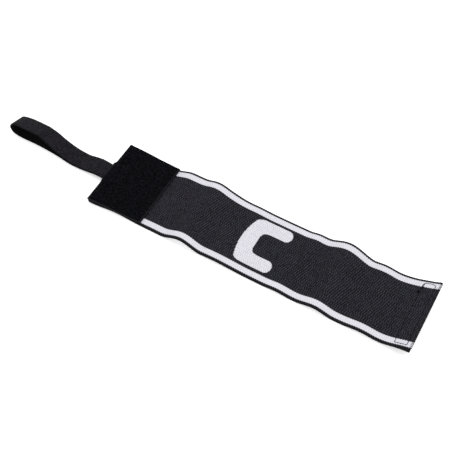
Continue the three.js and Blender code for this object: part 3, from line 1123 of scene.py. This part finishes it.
class ARMBAND_OT_hooks(bpy.types.Operator):
    """The hook strip under the hook end: its tape and its rows of hooks."""

    bl_idname = "armband.hooks"
    bl_label = "Hook Strip"

    def execute(self, context):
        band = context.scene.armband_band
        hooks = context.scene.armband_hooks
        _, end = band_ends()
        start = end - hooks.length
        half = band.width / 2.0 - hooks.inset

        def underside(x, y):
            return band_underside(band, x, y) - GAP - hooks.tape

        stations = np.linspace(start, end, 33)
        ring = rounded_ring(64, 4)
        points = cloth_sheet(stations, ring, lambda x: np.full_like(x, half), underside,
                             lambda x, y: np.full_like(x + y, hooks.tape))
        points[..., 1] -= hooks.askew * (points[..., 0] - start) / hooks.length
        material = hook_material(hooks)
        tape = new_piece("hook_tape", points, ring_faces(len(stations), len(ring)), material,
                         points[..., :2])
        hooked = self.make_hooks(hooks, start, half, underside, material)
        stand_in("hook_strip", tape, hooked)
        return {"FINISHED"}

    @staticmethod
    def make_hooks(hooks, start, half, underside, material):
        """Hooks on an even grid. Each goes straight down, then round a half circle and up again,
        and neighbouring rows look opposite ways."""
        margin = 0.7 * hooks.pitch
        last_margin = 0.6 * margin
        rows = np.arange(start + margin, start + hooks.length - last_margin, hooks.pitch)
        lanes = np.arange(margin - half, half - last_margin, hooks.pitch)
        x, y = (grid.ravel() for grid in np.meshgrid(rows, lanes, indexing="ij"))
        y = y - hooks.askew * (x - start) / hooks.length
        facing = np.where(np.round((x - start) / hooks.pitch) % 2 == 0, 1.0, -1.0)
        deep = hooks.thickness - hooks.tape - hooks.wire / 2.0
        bow = deep * 0.42
        angle = np.linspace(np.pi, 2.35 * np.pi, 6)
        across = np.concatenate([[0.0, 0.0], bow + bow * np.cos(angle)])
        stem = [-hooks.tape / 2.0, (deep - bow) / 2.0]
        down = np.concatenate([stem, (deep - bow) - bow * np.sin(angle)])
        px = x[:, None] + facing[:, None] * across[None, :]
        py = np.repeat(y[:, None], len(across), axis=1)
        pz = underside(x, y)[:, None] - down[None, :]
        points, faces, uv = tubes(np.stack([px, py, pz], axis=-1), hooks.wire / 2.0, 5)
        return new_piece("hook_rows", points, faces, material, uv)


class ARMBAND_OT_strap(bpy.types.Operator):
    """The narrow strap, carried out along its upper run, round the fold and back below."""

    bl_idname = "armband.strap"
    bl_label = "Strap Loop"

    stations = 520
    lanes = 22

    def execute(self, context):
        band = context.scene.armband_band
        strap = context.scene.armband_strap
        parts = np.linspace(0.0, 1.0, self.stations + 1)
        near = strap_edge(band, strap, "near", parts)
        far = strap_edge(band, strap, "far", parts)
        middle = (near + far) / 2.0
        run = arc_length(middle)
        forward = np.gradient(middle, axis=0)
        forward /= np.linalg.norm(forward, axis=1, keepdims=True)
        sideways = far - near
        sideways /= np.linalg.norm(sideways, axis=1, keepdims=True)
        upright = np.cross(forward, sideways)
        upright /= np.linalg.norm(upright, axis=1, keepdims=True)
        ring = rounded_ring(self.lanes, 4)
        edge = strap.thickness / 2.0
        across = ring[:, 0] * (strap.width / 2.0 - edge) + ring[:, 1] * edge
        out = (ring[:, 2] - 0.5) * strap.thickness
        points = (middle[:, None, :] + sideways[:, None, :] * across[None, :, None]
                  + upright[:, None, :] * out[None, :, None])
        points[..., 2] = np.maximum(points[..., 2], 0.0)
        uv = np.stack(np.broadcast_arrays(run[:, None], across[None, :]), axis=-1)
        piece = new_piece("strap_elastic", points, ring_faces(len(run), len(ring)),
                          strap_material(strap), uv)
        # Marks the loop's inner face, where the strap's colour is darkened as painted shade.
        add_attribute(piece, "shaded_inner_face", np.broadcast_to(ring[None, :, 2] > 0.5, points.shape[:2]))
        stand_in("strap_loop", piece)
        return {"FINISHED"}


class ARMBAND_OT_sewing(bpy.types.Operator):
    """Box seam and oversewn end at the hooks, and the seam round the patch."""

    bl_idname = "armband.sewing"
    bl_label = "Sewing"

    def execute(self, context):
        band = context.scene.armband_band
        patch = context.scene.armband_patch
        thread = context.scene.armband_thread
        start, end = band_ends()
        dark = thread_material("black_thread", thread.dark)
        light = thread_material("grey_thread", thread.light)

        def on_band(x, y):
            return band_top(band, x, y)

        def on_patch(x, y):
            return patch_underside(band, x, y) + patch_wall(band, patch, x, y)

        box = sewn(walked(self.box_sides(band, thread, end), thread.stitch), on_band, thread)
        tack = sewn(walked(self.tack_sides(band, thread, end), thread.stitch), on_band, thread)
        loose = self.loose_ends(band, thread, end)
        self.add("box_seam", np.concatenate([box, tack, loose]), thread, dark, "band")
        self.add("end_oversewing", self.oversewing(band, thread, end), thread, light, "band")
        side = band_half_width(band, start) - patch.rim * 0.6
        low = start + patch.rim * 0.6
        high = start + patch.length - patch.end_rim * 0.5
        far_side = band_half_width(band, high) - patch.rim * 0.6
        corners = ((high, far_side), (low, side), (low, -side), (high, -far_side))
        rows = sewn(walked(list(zip(corners, corners[1:])), thread.stitch), on_patch, thread)
        self.add("patch_seam", rows, thread, light, "loop_patch")
        hem = sewn(walked([(corners[-1], corners[0])], thread.stitch * 0.7), on_patch, thread)
        self.add("hem_seam", hem, thread, light, "loop_patch")
        return {"FINISHED"}

    @staticmethod
    def add(name, paths, thread, material, slot):
        points, faces, uv = tubes(paths, thread.diameter / 2.0, 6)
        piece = new_piece(name, points, faces, material, uv)
        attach(piece, "root")

    @staticmethod
    def box_sides(band, thread, end):
        """The box seam's sides, with round corners at the back edge and square ones at the front."""
        right = end - thread.box_inset
        left = right - thread.box_length
        side = band.width / 2.0 - thread.box_side
        bow = 0.0018
        turn = np.linspace(0.0, np.pi / 2.0, 5)
        back_left = np.column_stack([left + bow - bow * np.sin(turn), side - bow + bow * np.cos(turn)])
        back_right = np.column_stack([right - bow + bow * np.cos(turn), side - bow + bow * np.sin(turn)])
        return [
            back_left,
            (back_left[-1], (left, -side)),
            ((left, -side), (right, -side)),
            ((right, -side), back_right[0]),
            back_right,
            (back_right[-1], back_left[0]),
        ]

    @staticmethod
    def tack_sides(band, thread, end):
        """Stitches sewn back over the box seam's start, at its back left corner, and forth again."""
        x = end - thread.box_inset - thread.box_length + 0.8 * thread.diameter
        side = band.width / 2.0 - thread.box_side
        low = side - 0.0065
        high = side - 0.0008
        places = ((x - 0.0002, low), (x, high), (x + 0.0016, side + 0.0003), (x + 0.0004, high),
                  (x + 0.0001, low))
        return list(zip(places, places[1:]))

    @staticmethod
    def loose_ends(band, thread, end):
        """Ends of thread in a small tangle on the band, left of the box seam. Each turns outwards
        from the tangle's middle by a third of a turn, and every other one is shorter."""
        middle_x = end - thread.box_inset - thread.box_length - 0.0010
        middle_y = 0.0197
        long_end = 0.0014
        short_end = 0.0009
        t = np.linspace(0.0, 1.0, 8)[None, :]
        number = np.arange(8)[:, None]
        turn = number * np.pi / 4.0 + t * 2.0 * np.pi / 3.0
        out = np.where(number % 2 == 0, long_end, short_end) * mix(0.15, 1.0, t)
        x = middle_x + out * np.cos(turn)
        y = middle_y + out * np.sin(turn)
        z = band_top(band, x, y) + thread.diameter * (0.3 + 0.6 * np.sin(np.pi * t))
        return np.stack([x, y, z], axis=-1)

    @staticmethod
    def oversewing(band, thread, end):
        """Threads wrapped slantwise round the cut end: in over the top, down and back below.

        The way out over the top and the way back below each take one leg of a thread's course.
        """
        leg = 1.0 / 2.4
        bite = 0.0018
        lean = 0.0006
        step = 0.0013
        half = band.width / 2.0 - 0.0016
        y = np.arange(-half, half - lean, step)[:, None]
        t = np.linspace(0.0, 1.0, 13)[None, :]
        proud = thread.diameter * 0.15
        upper = np.clip(1.0 - t / leg, 0.0, 1.0)
        lower = np.clip(1.0 - (1.0 - t) / leg, 0.0, 1.0)
        x = end + proud - bite * np.maximum(upper, lower) + 0.0 * y
        down = np.clip((t - leg) / (1.0 - 2.0 * leg), 0.0, 1.0)
        across = y + lean * t
        top = band_top(band, np.minimum(x, end), across) + proud
        below = band_underside(band, np.minimum(x, end), across) - proud
        z = top + (below - top) * down
        z = z - thread.diameter * 1.2 * (smoothstep(upper, 0.8, 1.0) - smoothstep(lower, 0.8, 1.0))
        return np.stack([x, across + 0.0 * x, z], axis=-1)


class ARMBAND_PT_panel(bpy.types.Panel):
    """The armband's pieces and sizes in the 3D view's sidebar."""

    bl_idname = "ARMBAND_PT_panel"
    bl_label = "Captain Armband"
    bl_space_type = "VIEW_3D"
    bl_region_type = "UI"
    bl_category = "Armband"

    def draw(self, context):
        for maker, holder, _ in STEPS:
            column = self.layout.column(align=True)
            column.operator(maker.bl_idname)
            for name in getattr(context.scene, holder).bl_rna.properties.keys():
                if name not in ("rna_type", "name"):
                    column.prop(getattr(context.scene, holder), name)


STEPS = (
    (ARMBAND_OT_stage, "armband_stage", ArmbandStage),
    (ARMBAND_OT_band, "armband_band", ArmbandBand),
    (ARMBAND_OT_patch, "armband_patch", ArmbandPatch),
    (ARMBAND_OT_hooks, "armband_hooks", ArmbandHooks),
    (ARMBAND_OT_strap, "armband_strap", ArmbandStrap),
    (ARMBAND_OT_sewing, "armband_thread", ArmbandThread),
)
CLASSES = (*(sizes for _, _, sizes in STEPS), *(maker for maker, _, _ in STEPS), ARMBAND_PT_panel)


def register():
    for each in CLASSES:
        bpy.utils.register_class(each)
    for _, holder, sizes in STEPS:
        setattr(bpy.types.Scene, holder, PointerProperty(type=sizes))


def unregister():
    for _, holder, _ in STEPS:
        delattr(bpy.types.Scene, holder)
    for each in reversed(CLASSES):
        bpy.utils.unregister_class(each)


def main():
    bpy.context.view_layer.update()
    register()
    bpy.ops.armband.stage()
    bpy.ops.armband.band()
    bpy.ops.armband.patch()
    bpy.ops.armband.hooks()
    bpy.ops.armband.strap()
    bpy.ops.armband.sewing()


if __name__ == "__main__":
    main()
